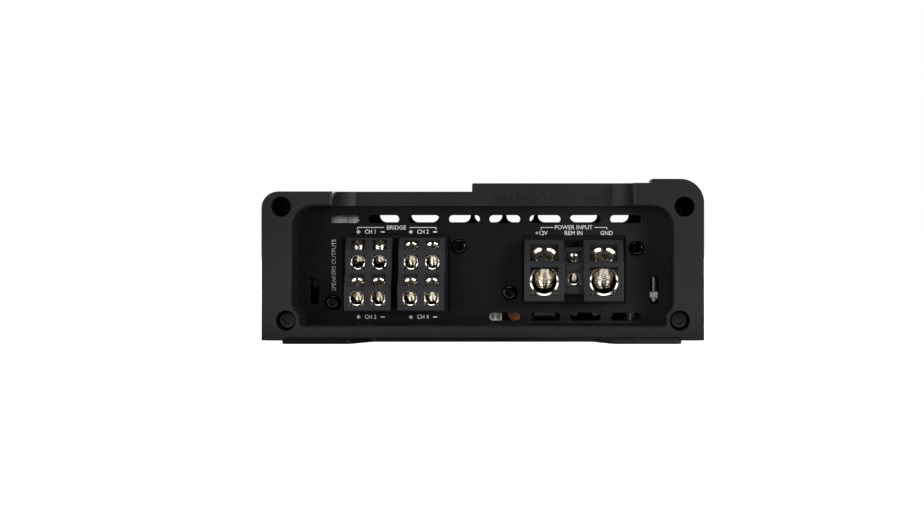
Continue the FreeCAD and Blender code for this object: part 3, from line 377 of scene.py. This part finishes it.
def clamp_screws():
    """A threaded piece in place of each plain CAD clamp screw. Sizes come from the CAD node's box."""
    made = {}
    for name, turn in HEAD_TURNS.items():
        low, high = place_of(name)
        radius = (high.x - low.x) / 2
        head = Vector(((low.x + high.x) / 2, low.y + 0.78 * radius * SLOPE, high.z - 0.78 * radius * SLOPE))
        length = (high.y - head.y) / SLOPE - radius * (1 - 1.6 * 0.22)
        key = round(radius / MM, 2)
        if key not in made:
            pitch = next(p for limit, p in PITCHES if key < limit) * MM
            made[key] = threaded_screw(f"thread_{len(made)}", radius, length, pitch, "screw_nickel")
        piece = bpy.data.objects.new("threaded_" + name, made[key].data.copy())
        bpy.context.scene.collection.objects.link(piece)
        lean = Matrix.Rotation(math.radians(45), 4, "X")
        piece.data.transform(Matrix.Translation(head) @ lean @ Matrix.Rotation(math.radians(turn), 4, "Z"))
        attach(piece, name + "_body")
        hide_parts(name)
    for pattern in made.values():
        bpy.data.objects.remove(pattern)


def legend(text, x, z, height, y, angle=0.0, facing=-1, stretch=1.0):
    """Printed words on an end panel. facing -1 is the terminal end, +1 the control end."""
    curve = bpy.data.curves.new("legend", "FONT")
    curve.body = text
    curve.size = height * 1.42
    curve.align_x = "CENTER"
    curve.align_y = "CENTER"
    curve.extrude = INK
    curve.offset = SPREAD
    curve.resolution_u = 3
    text_object = bpy.data.objects.new("legend", curve)
    bpy.context.scene.collection.objects.link(text_object)
    turn = Matrix.Rotation(math.pi if facing > 0 else 0, 4, "Z") @ Matrix.Rotation(math.pi / 2, 4, "X")
    turn = turn @ Matrix.Rotation(math.radians(angle), 4, "Z") @ Matrix.Diagonal((stretch, 1, 1, 1))
    depsgraph = bpy.context.evaluated_depsgraph_get()
    mesh = bpy.data.meshes.new_from_object(text_object.evaluated_get(depsgraph))
    mesh.transform(Matrix.Translation((x, y, z)) @ turn)
    bpy.data.objects.remove(text_object)
    return mesh


def join_meshes(name, meshes, surface):
    """One object from many meshes, which it uses up."""
    form = bmesh.new()
    for mesh in meshes:
        form.from_mesh(mesh)
        bpy.data.meshes.remove(mesh)
    joined = bpy.data.meshes.new(name)
    form.to_mesh(joined)
    form.free()
    joined.materials.clear()
    joined.materials.append(SURFACES[surface])
    obj = bpy.data.objects.new(name, joined)
    bpy.context.scene.collection.objects.link(obj)
    return obj


def strip(x0, x1, z0, z1, y):
    """A printed bar."""
    outline = ((x0, z0), (x1, z0), (x1, z1), (x0, z1))
    corners = [(x, side, z) for side in (y - INK, y + INK) for x, z in outline]
    mesh = bpy.data.meshes.new("strip")
    mesh.from_pydata(corners, [], BOX_FACES)
    return mesh


def bracket(x0, x1, z, drop, gap, y):
    """A line with both ends turned down and a gap in its middle for words."""
    w = 0.14 * MM
    middle = (x0 + x1) / 2
    return [
        strip(x0, middle - gap, z - w, z + w, y),
        strip(middle + gap, x1, z - w, z + w, y),
        strip(x0 - w, x0 + w, z - drop, z + w, y),
        strip(x1 - w, x1 + w, z - drop, z + w, y),
    ]


def sign(x, z, reach, y, upright):
    """A plus or minus sign with thick strokes."""
    w = 0.24 * MM
    strokes = [strip(x - reach, x + reach, z - w, z + w, y)]
    if upright:
        strokes.append(strip(x - w, x + w, z + w, z + reach, y))
        strokes.append(strip(x - w, x + w, z - reach, z - w, y))
    return strokes


def middle_x(node):
    low, high = place_of(node)
    return (low.x + high.x) / 2


def terminal_legends():
    """Plain words and signs beside the terminals, printed on the panel."""
    y = place_of("terminal_panel")[0].y - INK
    cap, marks = 1.6 * MM, []
    for channel in (1, 2, 3, 4):
        plus_x = middle_x(f"screw_ch{channel}_plus") - 0.6 * MM
        minus_x = middle_x(f"screw_ch{channel}_minus") + 0.6 * MM
        z = (40.9 if channel < 3 else 8.3) * MM
        marks += sign(plus_x, z, 0.75 * MM, y, True)
        marks += sign(minus_x, z, 0.75 * MM, y, False)
        marks.append(legend(f"CH {channel}", (plus_x + minus_x) / 2, z, cap, y, stretch=0.9))
    marks += bracket(-48.7 * MM, -18.6 * MM, 42.6 * MM, 0.8 * MM, 4.9 * MM, y)
    marks.append(legend("BRIDGE", -33.8 * MM, 42.5 * MM, cap, y, stretch=0.98))
    marks.append(legend("SPEAKERS OUTPUTS", -57.7 * MM, 28.2 * MM, cap, y, angle=90, stretch=0.96))
    marks += bracket(21.7 * MM, 46.9 * MM, 42.6 * MM, 0.8 * MM, 7.9 * MM, y)
    marks.append(legend("POWER INPUT", 34.1 * MM, 42.6 * MM, cap, y, stretch=0.97))
    for words, x, stretch in (("+12V", 21.8, 0.94), ("REM IN", 34.1, 0.98), ("GND", 46.8, 0.94)):
        marks.append(legend(words, x * MM, 40.4 * MM, cap, y, stretch=stretch))
    piece = join_meshes("terminal_legends", marks, "legend_white")
    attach(piece, BODY)


def dial_ticks(x, z, y):
    """Short strokes round a knob, every 28 degrees, with longer strokes at both ends and the middle of the
    travel.
    """
    strokes = []
    for i in range(-5, 6):
        angle = math.radians(90 + i * 28)
        stroke = strip(0.0, (1.3 if i % 5 == 0 else 0.8) * MM, -0.1 * MM, 0.1 * MM, 0.0)
        turn = Matrix.Rotation(-angle, 4, "Y")
        reach = Vector((x + 5.8 * MM * math.cos(angle), y, z + 5.8 * MM * math.sin(angle)))
        stroke.transform(Matrix.Translation(reach) @ turn)
        strokes.append(stroke)
    return strokes


KNOB_WORDS = {
    "gain_knob_front": ("GAIN", "MIN", "MAX"),
    "highpass_knob": ("HIGH PASS", "50", "500"),
    "gain_knob_rear": ("GAIN", "MIN", "MAX"),
    "lowpass_knob": ("LOW PASS", "50", "500"),
    "bass_knob": ("BASS", "0", "12"),
}
SLIDER_WORDS = {
    "filter_slider_front": ("FILTER", "HP", "OFF", "LP"),
    "filter_slider_rear": ("FILTER", "HP", "OFF", "LP"),
    "input_slider": ("INPUT", "2", "3", "4"),
}


def control_legends():
    """Plain words, ticks and numbers on the control panel."""
    y = place_of("control_panel")[1].y + INK
    marks = []
    for node, (title, least, most) in KNOB_WORDS.items():
        low, high = place_of(node)
        x, z = (low.x + high.x) / 2, (low.z + high.z) / 2
        marks += dial_ticks(x, z, y)
        marks.append(legend(title, x, z + 8.6 * MM, 1.3 * MM, y, facing=1, stretch=0.85))
        marks.append(legend(least, x + 6.3 * MM, z - 7.0 * MM, 1.0 * MM, y, facing=1, stretch=0.85))
        marks.append(legend(most, x - 6.3 * MM, z - 7.0 * MM, 1.0 * MM, y, facing=1, stretch=0.85))
    for node, (title, *choices) in SLIDER_WORDS.items():
        low, high = place_of(node)
        x, z = (low.x + high.x) / 2, (low.z + high.z) / 2
        marks.append(legend(title, x, z + 6.4 * MM, 1.3 * MM, y, facing=1, stretch=0.85))
        for i, words in enumerate(choices):
            painted_light_towards_right = x + (2.5 - 2.5 * i) * 1.3 * MM
            marks.append(legend(words, painted_light_towards_right, z - 4.0 * MM, 1.0 * MM, y, facing=1, stretch=0.85))
    for x, z, words in ((29.0, 41.6, "FRONT"), (49.0, 41.6, "REAR"), (60.6, 33.0, "L"), (60.6, 15.0, "R")):
        marks.append(legend(words, x * MM, z * MM, 1.3 * MM, y, facing=1, stretch=0.85))
    for z, words in ((35.5, "ON"), (29.0, "PROT")):
        marks.append(legend(words, 17.0 * MM, z * MM, 1.2 * MM, y, facing=1, stretch=0.85))
    marks.append(legend("LINE IN", 39.0 * MM, 5.2 * MM, 1.3 * MM, y, facing=1, stretch=0.85))
    piece = join_meshes("control_legends", marks, "legend_white")
    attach(piece, BODY)


def knob_pointers():
    """Paint in each knob's pointer groove."""
    for node in KNOB_WORDS:
        low, high = place_of(node)
        x, z = (low.x + high.x) / 2, (low.z + high.z) / 2
        paint = strip(x - 0.3 * MM, x + 0.3 * MM, z + 1.1 * MM, z + 4.3 * MM, high.y - 0.47 * MM)
        piece = join_meshes("pointer_" + node, [paint], "legend_white")
        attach(piece, node + "_body")


# ---- stage --------------------------------------------------------------------------------------
def plain(name, colour, emission=0.0):
    material = bpy.data.materials.new(name)
    material.use_nodes = True
    surface = material.node_tree.nodes["Principled BSDF"]
    surface.inputs["Base Color"].default_value = (*colour, 1)
    surface.inputs["Roughness"].default_value = 0.8
    surface.inputs["Emission Color"].default_value = (1, 1, 1, 1)
    surface.inputs["Emission Strength"].default_value = emission
    return material


def area_light(name, at, aim, size, power):
    light = bpy.data.lights.new(name, "AREA")
    light.shape = "RECTANGLE"
    light.size, light.size_y = size
    light.energy = power
    obj = bpy.data.objects.new(name, light)
    obj.location = at
    obj.rotation_euler = (Vector(aim) - Vector(at)).to_track_quat("-Z", "Y").to_euler()
    bpy.context.scene.collection.objects.link(obj)


LIGHTS = (  # name, place, what it points at, size, watts
    ("front_right", (0.70, -1.1, 0.15), (0.02, -0.12, 0.03), (0.4, 0.25), 6.5),
    ("front_left", (-0.6, -1.1, 0.12), (0.02, -0.12, 0.03), (0.4, 0.25), 2.0),
    ("left_side", (-0.85, -0.48, 0.3), (-0.05, -0.12, 0.04), (0.6, 0.4), 3.4),
    ("right_side", (0.85, -0.55, 0.3), (0.05, -0.12, 0.04), (0.6, 0.4), 2.0),
    ("above", (0.0, -0.5, 0.75), (0, -0.125, 0.03), (0.9, 0.2), 2.8),
    ("behind", (-0.3, 0.9, 0.6), (0, 0.12, 0.03), (0.6, 0.4), 9.0),
    ("behind_low", (0.5, 1.0, 0.2), (0, 0.12, 0.03), (0.5, 0.3), 9.0),
)


def studio():
    """White all round for the camera only, soft boxes on every side, and a low card for the clamps."""
    bpy.ops.mesh.primitive_plane_add(size=8, location=(0, 0, -0.0002))
    floor = bpy.context.object
    floor.name = "floor"
    floor.data.materials.append(plain("pale_floor", (0.9, 0.9, 0.9), 1.0))
    floor.visible_diffuse = False
    floor.visible_glossy = False
    bpy.ops.mesh.primitive_plane_add(size=1, location=(0, -0.195, 0.0004))
    card = bpy.context.object
    card.name = "bounce_card"
    card.scale = (0.4, 0.07, 1)
    card.data.materials.append(plain("white_card", (0.9, 0.9, 0.9), 2.0))
    card.visible_camera = False
    card.visible_diffuse = False
    card.visible_shadow = False
    world = bpy.data.worlds.new("studio")
    world.use_nodes = True
    world.node_tree.nodes["Background"].inputs["Color"].default_value = (1, 1, 1, 1)
    world.node_tree.nodes["Background"].inputs["Strength"].default_value = 1.0
    world.cycles_visibility.diffuse = False
    world.cycles_visibility.glossy = False
    bpy.context.scene.world = world
    for name, at, aim, size, power in LIGHTS:
        area_light(name, at, aim, size, power)
    camera = bpy.data.objects.new("camera", bpy.data.cameras.new("camera"))
    camera.data.lens = LENS
    camera.data.sensor_width = 36.0
    camera.data.clip_start = 0.01
    camera.location = CAMERA_AT
    camera.rotation_euler = (math.pi / 2, 0, 0)
    camera.data.shift_x, camera.data.shift_y = SHIFT
    bpy.context.scene.collection.objects.link(camera)
    bpy.context.scene.camera = camera
    bpy.context.scene.view_settings.view_transform = "Standard"


detail_surfaces()
paint_cad_nodes()
clamp_screws()
terminal_legends()
control_legends()
knob_pointers()
studio()
